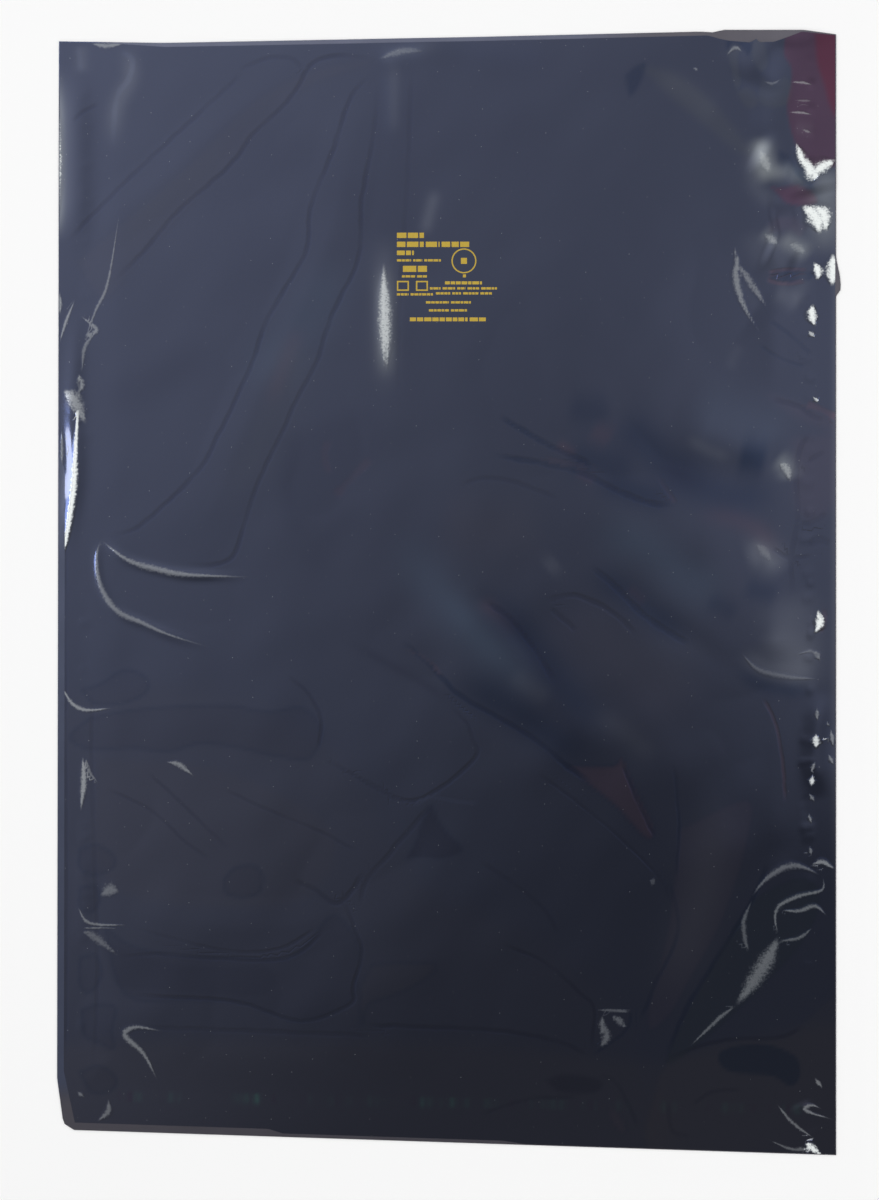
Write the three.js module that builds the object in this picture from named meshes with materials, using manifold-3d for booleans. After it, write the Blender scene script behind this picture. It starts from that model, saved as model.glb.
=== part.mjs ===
// An open-top bag of metallised film as it lies on a table: a back film and a front film,
// welded together along both sides and the bottom, with the pocket open at the mouth.
// Millimetres: +X runs across the bag, +Y towards the mouth and +Z up, and the origin is
// under the middle of the bag.
import * as THREE from 'three';
import { mergeVertices } from 'three/addons/utils/BufferGeometryUtils.js';
import Module from 'manifold-3d';

// Driving dimensions
const bagWidth = 265; // across both side edges
const bagLength = 375.4; // from the bottom edge to the mouth
const endSkew = -0.0099; // both ends are cut slightly out of square: Y for each millimetre of X
const filmThickness = 0.08; // one film
const sideWeldWidth = 6.5;
const bottomWeldHeight = 13; // from the bottom edge to the weld's inner line
const restingGap = 0.7; // the films lie this far apart where no fold lifts the front one
const closestGap = 0.15; // between the films in the bottom of a crease
const weldSlope = 11; // the front film rises from its weld to its full height over this distance
const flushInset = 0.3; // where the front film's edge runs along the back film's edge
const leftLip = 2.4; // the back film shows this far past the front film's left edge
const mouthLip = 1.5; // and past its mouth edge
const gapeLip = 3.4; // and where the mouth gapes beside the right weld
const bottomLip = 2.6; // and past its bottom edge, on the left
const bottomLipMiddle = 1.2;
const cornerCutAcross = 6; // the front film's bottom left corner is cut off by this much
const cornerCutUp = 17.5;
const backCornerClip = 2.2; // the back film's own corner is only nicked

// Small puckers where the front film was gathered into the side welds
const puckerPitch = 15;
const puckerReach = 8; // from the weld's inner line into the panel
const puckerHeight = 0.35;

// How finely the pocket's walls follow the folds: two rows to each pucker, and square cells
const pocketWidth = bagWidth - 2 * sideWeldWidth;
const pocketLength = bagLength - bottomWeldHeight;
const pocketRows = 2 * Math.round(pocketLength / puckerPitch);
const pocketColumns = Math.round((pocketRows * pocketWidth) / pocketLength);
const overrun = 3; // the folded sheet is made this much too large, and its outline trims it

// Soft folds of the front film. Each runs through its points, given as shares of the bag's
// width and length from the bottom left corner, and fades towards both ends. Its width is
// from the crest to the foot, and a crease has a negative height.
const folds = [
  // two long folds from the mouth down to the left side, and the creases along them
  { through: [[0.04, 0.78], [0.15, 0.88], [0.29, 0.97]], width: 11, height: 1.1 },
  { through: [[0.42, 0.97], [0.36, 0.83], [0.25, 0.64], [0.11, 0.53]], width: 13, height: 1.5 },
  { through: [[0.47, 0.95], [0.43, 0.75], [0.36, 0.6], [0.3, 0.5]], width: 10, height: -0.5 },
  { through: [[0.3, 0.92], [0.24, 0.75], [0.12, 0.62]], width: 10, height: -0.4 },
  // the hooked pinch beside the left weld
  { through: [[0.05, 0.55], [0.14, 0.51], [0.3, 0.51]], width: 6, height: 1 },
  { through: [[0.05, 0.55], [0.07, 0.48], [0.2, 0.44]], width: 6, height: 0.9 },
  { through: [[0.08, 0.52], [0.16, 0.48], [0.24, 0.48]], width: 6, height: -0.5 },
  // the left side
  { through: [[0.05, 0.95], [0.04, 0.82], [0.05, 0.7], [0.03, 0.55]], width: 6, height: 1.1 },
  { through: [[0.04, 0.34], [0.2, 0.37], [0.35, 0.36]], width: 9, height: 0.9 },
  { through: [[0.05, 0.21], [0.19, 0.18], [0.37, 0.19]], width: 9, height: 0.9 },
  { through: [[0.1, 0.09], [0.32, 0.085], [0.55, 0.085], [0.76, 0.08]], width: 9, height: 0.9 },
  // the broad swell across the middle and the creases on both sides of it
  { through: [[0.42, 0.54], [0.6, 0.45], [0.75, 0.33], [0.8, 0.22]], width: 17, height: 1.6 },
  { through: [[0.5, 0.42], [0.63, 0.35], [0.73, 0.25]], width: 10, height: -0.5 },
  { through: [[0.55, 0.66], [0.7, 0.6], [0.93, 0.58]], width: 10, height: -0.5 },
  { through: [[0.55, 0.6], [0.72, 0.56], [0.9, 0.5]], width: 12, height: 0.9 },
  // swells beside the right weld
  { through: [[0.88, 0.93], [0.92, 0.86], [0.95, 0.76]], width: 13, height: 1.7 },
  { through: [[0.9, 0.55], [0.94, 0.46], [0.94, 0.37]], width: 15, height: 1.8 },
  { through: [[0.9, 0.7], [0.93, 0.65], [0.95, 0.6]], width: 8, height: -0.5 },
  // the lower right corner, gathered towards the weld
  { through: [[0.99, 0.25], [0.92, 0.23], [0.89, 0.16], [0.8, 0.09]], width: 8, height: 1.6 },
  { through: [[0.78, 0.08], [0.85, 0.2], [0.93, 0.3], [0.92, 0.4]], width: 7, height: 0.7 },
  { through: [[0.84, 0.075], [0.9, 0.08], [0.97, 0.08]], width: 6, height: -0.5 },
  // the mouth: a slack swell to the left of its middle, and the gape beside the right weld
  { through: [[0.35, 0.99], [0.5, 1], [0.7, 0.99]], width: 12, height: 0.6 },
  { through: [[0.84, 0.93], [0.9, 0.99], [0.93, 1.04]], width: 9, height: 1.5 },
];

// A point of the panel from its shares of the width and the length
function panelPoint(across, along) {
  const x = (across - 0.5) * bagWidth;
  return new THREE.Vector2(x, (along - 0.5) * bagLength + endSkew * x);
}

// The outlines run anticlockwise. Each corner is two shares and then its offset in
// millimetres across and along the bag.
const backOutline = [
  [0, 0, cornerCutAcross, 0],
  [1, 0, 0, 0],
  [1, 1, 0, -1],
  [0.96, 1, 0, 0.6],
  [0.87, 1, 0, 1],
  [0.83, 1, 0, 0.6],
  [0.55, 1, 0, -0.3],
  [0.14, 1, 0, -1],
  [0, 1, 0, 0],
  [0, 0, 0, cornerCutUp],
  [0, 0, backCornerClip, backCornerClip],
];

const frontOutline = [
  [0, 0, cornerCutAcross + flushInset, bottomLip],
  [0.26, 0, 0, bottomLip],
  [0.28, 0, 0, bottomLipMiddle],
  [0.57, 0, 0, bottomLipMiddle],
  [0.6, 0, 0, flushInset],
  [1, 0, -flushInset, flushInset],
  [1, 1, -flushInset, -1 - flushInset],
  [0.96, 1, 0, 0.6 - flushInset],
  [0.94, 1, 0, -gapeLip],
  [0.88, 1, 0, -gapeLip],
  [0.86, 1, 0, 0.6 - mouthLip],
  [0.55, 1, 0, -0.3 - mouthLip],
  [0.14, 1, 0, -1 - mouthLip],
  [0.06, 1, 0, -0.5 - flushInset],
  [0, 1, flushInset, -flushInset],
  [0, 0.62, flushInset, 0],
  [0, 0.6, leftLip, 0],
  [0, 0.14, leftLip, 0],
  [0, 0, leftLip, cornerCutUp],
];

function ramp(value, start, end) {
  return THREE.MathUtils.smoothstep(value, start, end);
}

// Each fold as short straight steps, so that the distance to it is quick to find
const stepsInFold = 24;
const foldLines = folds.map((fold) => {
  const corners = fold.through.map(([across, along]) => {
    const point = panelPoint(across, along);
    return new THREE.Vector3(point.x, point.y, 0);
  });
  return { ...fold, points: new THREE.CatmullRomCurve3(corners).getPoints(stepsInFold) };
});

// How much one fold lifts the film at a point
function foldLift(fold, x, y) {
  let nearest = Infinity;
  let nearestStep = 0;
  fold.points.forEach((point, step) => {
    const distance = Math.hypot(point.x - x, point.y - y);
    if (distance < nearest) {
      nearest = distance;
      nearestStep = step;
    }
  });
  const fade = Math.sin((Math.PI * (nearestStep + 1)) / (stepsInFold + 2));
  return fold.height * Math.sqrt(fade) * Math.exp(-((nearest / fold.width) ** 2));
}

// The gap between the two films at a point. It closes at the welds and stays open at the mouth.
function filmGap(x, y) {
  const along = y - endSkew * x + bagLength / 2;
  const fromSide = bagWidth / 2 - Math.abs(x) - sideWeldWidth;
  const fromBottom = along - bottomWeldHeight;
  if (Math.min(fromSide, fromBottom) <= 0) {
    return 0;
  }
  const open = ramp(fromSide, 0, weldSlope) * ramp(fromBottom, 0, weldSlope);
  const lift = foldLines.reduce((sum, fold) => sum + foldLift(fold, x, y), restingGap);
  const nearWeld = ramp(fromSide, 0, puckerReach) * (1 - ramp(fromSide, puckerReach, 2 * puckerReach));
  const puckerTurn = (Math.PI * pocketRows * fromBottom) / pocketLength;
  const pucker = puckerHeight * nearWeld * Math.cos(puckerTurn);
  const leastGap = closestGap * ramp(Math.min(fromSide, fromBottom), 0, puckerReach);
  return Math.max(leastGap, open * lift + pucker);
}

// Grid lines, with one on each weld's inner edge
function evenSteps(start, end, count) {
  return Array.from({ length: count + 1 }, (_, i) => start + ((end - start) * i) / count);
}

const mouth = bagLength / 2;
const pocketColumnLines = evenSteps(-pocketWidth / 2, pocketWidth / 2, pocketColumns);
const pocketRowLines = [...evenSteps(mouth - pocketLength, mouth, pocketRows), mouth + overrun];
const sheetEdge = bagWidth / 2 + overrun;
const sheetColumnLines = [-sheetEdge, ...pocketColumnLines, sheetEdge];
const sheetRowLines = [-mouth - overrun, ...pocketRowLines];

// A closed solid with a flat floor and a top that follows heightAt over the grid. Where the
// top comes down to the floor along an edge, the two meet there with no wall between.
function gridSolid(columnLines, rowLines, floor, heightAt) {
  const columns = columnLines.length;
  const rows = rowLines.length;
  const positions = [];
  const faces = [];
  const place = (column, row) => {
    const x = columnLines[column];
    return [x, rowLines[row] + endSkew * x];
  };
  const topIndex = (column, row) => row * columns + column;

  for (let row = 0; row < rows; row++) {
    for (let column = 0; column < columns; column++) {
      const [x, y] = place(column, row);
      positions.push(x, y, heightAt(x, y));
    }
  }
  for (let row = 0; row < rows - 1; row++) {
    for (let column = 0; column < columns - 1; column++) {
      const a = topIndex(column, row);
      const b = topIndex(column + 1, row);
      const c = topIndex(column + 1, row + 1);
      const d = topIndex(column, row + 1);
      // The diagonal follows the flatter way over each cell
      const height = (index) => positions[3 * index + 2];
      if (Math.abs(height(a) - height(c)) < Math.abs(height(b) - height(d))) {
        faces.push(a, b, c, a, c, d);
      } else {
        faces.push(a, b, d, b, c, d);
      }
    }
  }

  const rim = [];
  for (let column = 0; column < columns - 1; column++) rim.push([column, 0]);
  for (let row = 0; row < rows - 1; row++) rim.push([columns - 1, row]);
  for (let column = columns - 1; column > 0; column--) rim.push([column, rows - 1]);
  for (let row = rows - 1; row > 0; row--) rim.push([0, row]);
  const floorStart = positions.length / 3;
  const rimPoints = rim.map(([column, row]) => new THREE.Vector2(...place(column, row)));
  rimPoints.forEach((point) => positions.push(point.x, point.y, floor));
  for (const [a, b, c] of THREE.ShapeUtils.triangulateShape(rimPoints, [])) {
    faces.push(floorStart + a, floorStart + c, floorStart + b);
  }
  rim.forEach(([column, row], i) => {
    const next = (i + 1) % rim.length;
    const top = topIndex(column, row);
    const topNext = topIndex(...rim[next]);
    const isOpen = positions[3 * top + 2] > floor;
    const isNextOpen = positions[3 * topNext + 2] > floor;
    if (isOpen) faces.push(floorStart + i, topNext, top);
    if (isNextOpen) faces.push(floorStart + i, floorStart + next, topNext);
  });

  const geometry = new THREE.BufferGeometry();
  geometry.setAttribute('position', new THREE.Float32BufferAttribute(positions, 3));
  geometry.setIndex(faces);
  return mergeVertices(geometry);
}

// A flat plate of the outline's shape
function outlinePlate(outline, floor, thickness) {
  const corners = outline.map(([across, along, dx, dy]) => {
    const point = panelPoint(across, along);
    return new THREE.Vector2(point.x + dx, point.y + dy);
  });
  const geometry = new THREE.ExtrudeGeometry(new THREE.Shape(corners), {
    depth: thickness,
    bevelEnabled: false,
  });
  geometry.translate(0, 0, floor);
  return geometry;
}

const wasm = await Module();
wasm.setup();

function toSolid(geometry) {
  const bare = geometry.clone();
  bare.deleteAttribute('normal');
  bare.deleteAttribute('uv');
  const merged = mergeVertices(bare);
  return new wasm.Manifold(new wasm.Mesh({
    numProp: 3,
    vertProperties: new Float32Array(merged.attributes.position.array),
    triVerts: new Uint32Array(merged.index.array),
  }));
}

function toGeometry(solid) {
  const mesh = solid.getMesh();
  const geometry = new THREE.BufferGeometry();
  geometry.setAttribute('position', new THREE.BufferAttribute(mesh.vertProperties, 3));
  geometry.setIndex(new THREE.BufferAttribute(mesh.triVerts, 1));
  geometry.computeVertexNormals();
  return geometry;
}

// The front film and all that lies under it, trimmed to the front outline, and the back
// film with it; the pocket is then cut out between the two.
const tallestTrim = 50;
const foldedTop = gridSolid(sheetColumnLines, sheetRowLines, 0, (x, y) => 2 * filmThickness + filmGap(x, y));
const pocketSpace = gridSolid(pocketColumnLines, pocketRowLines, filmThickness, (x, y) => filmThickness + filmGap(x, y));
const frontFilm = toSolid(foldedTop).intersect(toSolid(outlinePlate(frontOutline, -1, tallestTrim)));
const backFilm = toSolid(outlinePlate(backOutline, 0, filmThickness));
const bagSolid = frontFilm.add(backFilm).subtract(toSolid(pocketSpace));

const film = new THREE.MeshStandardMaterial({ color: 0x343a4b, roughness: 0.2, metalness: 0.35 });
const shieldingBag = new THREE.Mesh(toGeometry(bagSolid), film);
shieldingBag.name = 'shielding_bag';

const bag = new THREE.Group();
bag.add(shieldingBag);

export default bag;
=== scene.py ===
import math
import random

import bpy
import numpy as np
from mathutils import Euler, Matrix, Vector


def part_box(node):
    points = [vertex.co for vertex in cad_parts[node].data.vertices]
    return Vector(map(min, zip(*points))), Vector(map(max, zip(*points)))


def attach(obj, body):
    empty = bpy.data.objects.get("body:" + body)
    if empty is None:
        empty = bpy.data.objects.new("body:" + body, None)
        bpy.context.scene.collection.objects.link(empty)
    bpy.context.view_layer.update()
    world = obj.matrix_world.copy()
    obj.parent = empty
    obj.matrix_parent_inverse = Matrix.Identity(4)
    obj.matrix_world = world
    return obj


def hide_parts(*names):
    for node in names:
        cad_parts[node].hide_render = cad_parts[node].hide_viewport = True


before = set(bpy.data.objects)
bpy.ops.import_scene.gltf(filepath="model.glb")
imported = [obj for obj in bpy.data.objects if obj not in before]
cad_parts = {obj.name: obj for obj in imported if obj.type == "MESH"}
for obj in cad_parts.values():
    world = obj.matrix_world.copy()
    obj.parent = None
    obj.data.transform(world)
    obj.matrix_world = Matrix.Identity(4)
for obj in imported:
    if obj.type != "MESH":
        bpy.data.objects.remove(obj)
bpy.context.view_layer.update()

millimetre = 0.001

# The camera looks straight down on the bag, from a little to its right
photo = {"width": 879, "height": 1200}
cameraValues = {
    "place": (0.0557, -0.0071, 0.6768),
    "turn": (0.275, 4.741, 0.054),  # degrees
    "lens": 60.0,
    "sensor": 36.0,  # along the photo's longer side
    "nearest": 0.01,
}
cameraTurn = Euler([math.radians(angle) for angle in cameraValues["turn"]], "XYZ")


def makeCamera():
    data = bpy.data.cameras.new("photo_camera")
    data.lens = cameraValues["lens"]
    data.sensor_fit = "VERTICAL"
    data.sensor_height = cameraValues["sensor"]
    data.clip_start = cameraValues["nearest"]
    camera = bpy.data.objects.new("photo_camera", data)
    camera.location = cameraValues["place"]
    camera.rotation_euler = cameraTurn
    bpy.context.scene.collection.objects.link(camera)
    bpy.context.scene.camera = camera


# Where a pixel of the photo lies on the table under the bag, in metres
def onTable(pixelX, pixelY):
    focal = cameraValues["lens"] / cameraValues["sensor"] * photo["height"]
    ray = Vector(((pixelX - photo["width"] / 2) / focal, (photo["height"] / 2 - pixelY) / focal, -1.0))
    ray.rotate(cameraTurn)
    place = Vector(cameraValues["place"])
    return (place - ray * (place.z / ray.z)).xy


makeCamera()
print("camera made")

# The bag's own sizes, as the CAD part has them
lowCorner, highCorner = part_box("shielding_bag")
bag = {
    "width": highCorner.x - lowCorner.x,
    "skew": -0.0099,  # both ends are cut slightly out of square
    "film": 0.08,  # millimetres, as all below
    "sideWeld": 6.5,
    "bottomWeld": 13.0,
    "restingGap": 0.14,
    "closestGap": 0.08,
    "weldSlope": 16.0,
}
bag["length"] = highCorner.y - lowCorner.y + bag["skew"] * bag["width"]
film = bag["film"] * millimetre

# How far each film's edges lie inside the panel: (share along the side, millimetres)
frontInsets = {
    "left": [(0, 6.3), (0.047, 2.4), (0.6, 2.4), (0.62, 0.3), (1, 0.3)],
    "right": [(0, 0.3), (1, 0.3)],
    "bottom": [(0, 2.6), (0.26, 2.6), (0.28, 1.2), (0.57, 1.2), (0.6, 0.3), (1, 0.3)],
    "mouth": [(0, 0.3), (0.06, 0.8), (0.14, 2.5), (0.55, 1.8), (0.84, 0.9), (0.857, 2.2), (0.868, 2.8),
              (0.893, 3.5), (0.901, 2.4), (0.905, 3.5), (0.923, 3.5), (0.934, 2.5), (0.95, 0.9), (0.958, 0),
              (1, 1.3)],
}
backInsets = {
    "left": [(0, 6), (0.006, 2.2), (0.047, 0), (1, 0)],
    "right": [(0, 0), (0.768, 0), (0.772, -1.7), (0.785, -1.2), (0.8, 0), (1, 0)],
    "bottom": [(0, 0), (1, 0)],
    "mouth": [(0, 0), (0.14, 1), (0.55, 0.3), (0.83, -0.5), (0.845, -0.2), (0.86, -1), (0.96, -0.6),
              (1, 1)],
}


# Maps shares of the panel's width and length to a film's own outline
def onOutline(across, along, insets):
    def inset(side, share):
        shares, depths = zip(*insets[side])
        return np.interp(share, shares, depths) * millimetre
    left = -bag["width"] / 2 + inset("left", along)
    right = bag["width"] / 2 - inset("right", along)
    x = left + (right - left) * across
    bottom = -bag["length"] / 2 + inset("bottom", across)
    mouth = bag["length"] / 2 - inset("mouth", across)
    return x, bottom + (mouth - bottom) * along + bag["skew"] * x


# Folds and creases of the front film, in the photo's pixels. Widths run from crest to foot and
# heights up from the film, in millimetres; a positive lean steepens the left flank as one
# walks along the line. A kinked fold has straight flanks, so its foot shows as an edge.
folds = {
    # two long folds from the mouth down to the left side
    "upper left fold": {"through": [(60, 262), (120, 212), (175, 168), (225, 122), (285, 75)],
                        "width": 9, "height": 0.08, "kinked": True},
    "long fold": {"through": [(378, 75), (352, 140), (335, 220), (300, 310), (265, 380), (235, 450),
                              (205, 520), (150, 548)], "width": 10, "height": 0.12, "kinked": True},
    "hollow beside it": {"through": [(420, 120), (385, 300), (345, 430), (310, 500)], "width": 12,
                         "height": -0.04},
    "dark hollow": {"through": [(375, 415), (330, 470), (290, 520)], "width": 9, "height": -0.09},
    "fine upright ridge": {"through": [(385, 250), (387, 375)], "width": 2.0, "height": 0.16, "fade": 0.45},
    # the hooked pinch beside the left weld
    "upper hook": {"through": [(101, 540), (128, 560), (160, 570), (190, 575), (250, 577)], "width": 1.4,
                   "height": 0.28, "fade": 0.2},
    "lower hook": {"through": [(101, 540), (97, 555), (99, 580), (108, 600), (122, 614), (145, 624),
                               (170, 635), (212, 648)], "width": 1.4, "height": 0.26, "fade": 0.2},
    "inside the hook": {"through": [(120, 585), (180, 605), (240, 610)], "width": 6, "height": -0.06},
    # the left side and the lower left
    "finger": {"through": [(85, 733), (200, 724), (300, 735)], "width": 8, "height": 0.02, "kinked": True},
    "low swell": {"through": [(110, 905), (200, 925), (300, 925), (350, 900)], "width": 9, "height": 0.06,
                  "kinked": True},
    "bottom swell": {"through": [(130, 1050), (300, 1058), (470, 1062), (640, 1068)], "width": 10,
                     "height": 0.08},
    # the broad swell across the middle
    "middle swell": {"through": [(400, 560), (480, 640), (560, 720), (620, 770)], "width": 15,
                     "height": 0.22, "lean": 0.3},
    "middle crease": {"through": [(467, 589), (495, 607), (522, 635), (563, 685)], "width": 4,
                      "height": -0.09},
    "long crease": {"through": [(399, 639), (431, 666), (458, 694), (535, 739), (595, 785)], "width": 6,
                    "height": -0.13},
    "right of middle": {"through": [(590, 562), (631, 594), (667, 625), (704, 648), (763, 698)], "width": 5,
                        "height": -0.05},
    "dark lens": {"through": [(560, 440), (620, 455), (700, 475), (780, 480)], "width": 8,
                  "height": -0.16},
    "over the lens": {"through": [(670, 415), (730, 440), (790, 450)], "width": 7, "height": 0.2},
    "under the lens": {"through": [(540, 500), (660, 530), (760, 545)], "width": 12, "height": 0.16},
    # swells beside the right weld
    "first right knob": {"through": [(752, 150), (775, 163), (800, 168)], "width": 6, "height": 0.4},
    "second right knob": {"through": [(770, 222), (800, 215)], "width": 5, "height": 0.3},
    "third right knob": {"through": [(765, 245), (800, 262)], "width": 6, "height": 0.4},
    "upper right swell": {"through": [(755, 300), (785, 340), (795, 400)], "width": 10, "height": 0.2},
    "right swell": {"through": [(755, 570), (785, 620), (790, 665)], "width": 12, "height": 0.12},
    # the lower right corner
    "right arc": {"through": [(820, 873), (795, 865), (770, 880), (750, 920), (752, 985), (725, 1015),
                              (690, 1045)], "width": 5, "height": 0.1},
    "wedge": {"through": [(655, 1020), (690, 950), (715, 880), (725, 800)], "width": 10, "height": 0.08,
              "kinked": True},
    "dark blob": {"through": [(725, 1060), (795, 1066)], "width": 6, "height": -0.14},
    # the mouth
    "mouth slack": {"through": [(360, 60), (430, 45), (560, 50)], "width": 6, "height": 0.12},
    "mouth gape": {"through": [(742, 85), (765, 50), (772, 20)], "width": 8, "height": 0.6},
}

# Where the welded edge itself curls up from the table, both films together
curls = {
    "upper left edge": {"through": [(75, 60), (78, 160), (76, 262)], "width": 4.5, "height": 0.35},
    "left tuck": {"through": [(78, 300), (73, 400), (76, 470), (66, 560)], "width": 3, "height": 0.3},
    "upper right corner": {"through": [(790, 20), (794, 70), (792, 120), (806, 172), (812, 200)],
                           "width": 9, "height": 0.5, "fade": 0.15},
    "right edge": {"through": [(822, 690), (815, 745), (818, 800)], "width": 3.5, "height": 0.25},
    "lower right corner": {"through": [(795, 1100), (815, 1135)], "width": 5, "height": 0.3},
    "lower left edge": {"through": [(80, 840), (84, 900), (80, 960)], "width": 3.5, "height": 0.08},
}

# Short puckers along the side welds, in millimetres; some of them are hollows, not ridges
puckers = {
    "pitch": (2.5, 9.0),
    "reach": 7.0,
    "shortest": 0.5,  # share of the reach
    "drift": 2.0,
    "width": (0.8, 1.8),
    "height": {-1: 0.03, 1: 0.08},  # on the left and on the right
    "lowest": 0.1,  # share of the height
    "turns": (1, 1, -0.6),
    "fade": 0.35,
    "seed": 7,
}
# Slow waves of the whole film: their height is for each unit of their length
flutter = {"waves": 30, "length": (14.0, 90.0), "height": 0.0013, "seed": 3}

# Tints that paint reflected light and shade into the film's colour, all but teal, which is the weld ticks'
# own colour: each a factor on its own colour; one above 1 throughout adds painted light instead
tints = {
    "dusk": (0.62, 0.66, 0.78),
    "deepShade": (0.36, 0.57, 0.8),
    "plum": (1.38, 1.12, 1.06),
    "warmReflection": (1.24, 1.12, 1.0),
    "faintReflection": (1.08, 1.02, 0.97),
    "shade": (0.84, 0.86, 0.91),
    "ashReflection": (1.3, 1.22, 1.02),
    "red": (1.5, 0.38, 0.66),
    "ember": (1.9, 1.1, 1.0),
    "wine": (2.0, 0.64, 0.8),
    "greenReflection": (0.84, 0.95, 0.88),
    "paleReflection": (1.5, 1.5, 1.45),
    "teal": (1.15, 1.8, 1.25),
    "sheen": (1.25, 1.35, 1.24),
    "glow": (2.4, 2.1, 1.55),
    "flare": (5.0, 4.2, 2.4),
}

# Patches of painted reflection, lighter, darker or coloured where the film reflects other parts of the
# room, bounded by soft creases, in the photo's pixels: their tint, how soft their edge is in millimetres,
# how dark the painted shade of the crease around them, and their corners
reflectionPatches = [
    ("faintReflection", 14.0, 0, [(40, 700), (200, 690), (340, 760), (420, 880), (560, 950), (640, 1060),
      (620, 1170), (30, 1150)]),
    ("warmReflection", 8.0, 0, [(40, 1045), (250, 1040), (480, 1045), (640, 1062), (700, 1052), (850, 1030),
      (850, 1175), (30, 1150)]),
    ("shade", 8.0, 0, [(283, 440), (330, 420), (379, 412), (372, 470), (330, 505), (296, 532),
      (281, 500)]),
    ("ember", 0.8, 0.5, [(567, 766), (613, 766), (622, 759), (635, 789), (654, 830), (645, 837),
      (617, 807), (590, 785)]),
    ("shade", 1.2, 0.45, [(90, 718), (132, 710), (190, 706), (233, 706), (268, 712), (302, 708),
      (322, 730), (314, 753), (295, 759), (210, 743), (171, 751), (132, 748), (90, 749), (70, 737)]),
    ("shade", 1.2, 0.4, [(105, 927), (132, 946), (183, 956), (240, 958), (287, 959), (310, 942),
      (333, 915), (356, 938), (360, 961), (351, 1000), (325, 1015), (295, 1021), (264, 1010), (240, 1002),
      (183, 1000), (125, 994)]),
    ("faintReflection", 1.0, 0.35, [(372, 965), (403, 963), (436, 965), (422, 981), (391, 996), (368, 1004),
      (362, 1025), (360, 990)]),
    ("dusk", 1.4, 0.3, [(407, 858), (416, 842), (424, 818), (431, 805), (438, 820), (450, 836),
      (462, 850), (440, 858), (425, 856)]),
    ("plum", 1.5, 0.2, [(679, 830), (671, 910), (661, 960), (649, 1003), (648, 1023), (653, 1029),
      (671, 1013), (686, 986), (709, 946), (726, 910), (745, 850), (748, 800)]),
    ("greenReflection", 1.0, 0.15, [(752, 900), (792, 880), (818, 887), (812, 926), (779, 969), (712, 1033),
      (666, 1061), (712, 966)]),
    ("deepShade", 1.2, 0, [(719, 1052), (735, 1046), (765, 1044), (789, 1052), (799, 1062), (799, 1079),
      (789, 1086), (772, 1076), (732, 1072), (719, 1062)]),
    ("dusk", 2.0, 0, [(546, 1080), (565, 1074), (600, 1080), (596, 1092), (560, 1092)]),
    ("plum", 0.7, 0.2, [(609, 1109), (617, 1111), (626, 1128), (621, 1133), (611, 1120)]),
    ("faintReflection", 5.0, 0.1, [(76, 262), (180, 172), (250, 104), (300, 75), (345, 62), (372, 64), (300, 92),
      (253, 140), (146, 254), (104, 300)]),
    ("deepShade", 0.8, 0, [(768, 276), (780, 269), (812, 271), (810, 280), (790, 284)]),
    ("warmReflection", 3.0, 0.1, [(668, 1060), (700, 1047), (735, 1039), (782, 1038), (806, 1020), (850, 1000),
      (850, 1165), (660, 1160), (655, 1090)]),
    ("wine", 1.0, 0, [(785, 38), (784, 55), (791, 68), (791, 84), (787, 105), (790, 128), (797, 148),
      (808, 166), (838, 166), (850, 160), (850, 20), (800, 25)]),
    ("red", 2.2, 0, [(815, 33), (824, 33), (838, 38), (838, 112), (830, 106), (824, 84), (817, 62)]),
    ("wine", 1.2, 0.3, [(770, 187), (782, 188), (797, 185), (812, 192), (817, 203), (800, 206),
      (786, 203), (778, 195)]),
    ("faintReflection", 4.0, 0, [(100, 760), (220, 770), (330, 830), (300, 900), (150, 900), (95, 860)]),
    ("shade", 0.8, 0.45, [(80, 849), (97, 845), (114, 856), (113, 868), (95, 875), (80, 868)]),
    ("shade", 0.8, 0.45, [(80, 888), (96, 886), (100, 900), (92, 912), (80, 908)]),
    ("shade", 0.8, 0.45, [(80, 958), (96, 955), (102, 975), (90, 992), (80, 985)]),
    ("shade", 0.8, 0.45, [(82, 1010), (100, 1004), (116, 1008), (112, 1030), (114, 1048), (98, 1042),
      (84, 1034)]),
    ("shade", 0.8, 0.45, [(82, 690), (100, 684), (124, 670), (144, 676), (148, 690), (128, 702),
      (96, 704)]),
    ("shade", 0.7, 0.45, [(80, 1072), (100, 1066), (116, 1078), (112, 1090), (92, 1092)]),
    ("ashReflection", 4.0, 0, [(640, 66), (670, 72), (700, 92), (728, 120), (748, 150), (735, 150), (705, 125),
      (672, 98)]),
    ("ashReflection", 1.0, 0.2, [(726, 52), (733, 44), (741, 47), (738, 60), (741, 84), (735, 88), (730, 66)]),
    ("ashReflection", 1.0, 0.2, [(751, 44), (760, 37), (766, 48), (768, 66), (760, 72), (752, 60)]),
    ("ashReflection", 1.5, 0.1, [(762, 78), (772, 84), (784, 78), (792, 84), (788, 104), (770, 108), (758, 100)]),
    ("ashReflection", 1.5, 0, [(736, 92), (750, 88), (758, 102), (748, 108)]),
    ("deepShade", 1.0, 0.2, [(726, 38), (744, 40), (752, 44), (748, 56), (742, 48), (732, 44), (727, 50)]),
    ("deepShade", 1.5, 0, [(778, 150), (792, 160), (803, 175), (815, 188), (806, 190), (790, 178),
      (778, 165)]),
    ("deepShade", 2.0, 0, [(625, 76), (636, 66), (646, 64), (640, 84), (630, 96)]),
    ("plum", 5.0, 0, [(770, 396), (792, 402), (812, 412), (834, 420), (838, 432), (812, 424),
      (792, 414)]),
    ("plum", 5.0, 0, [(793, 440), (815, 436), (836, 440), (836, 500), (812, 520), (795, 500)]),
    ("shade", 1.0, 0.5, [(224, 880), (235, 868), (255, 866), (263, 878), (258, 893), (240, 897),
      (226, 892)]),
    ("shade", 2.5, 0, [(100, 940), (180, 965), (270, 968), (262, 995), (170, 990), (118, 985)]),
]
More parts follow.
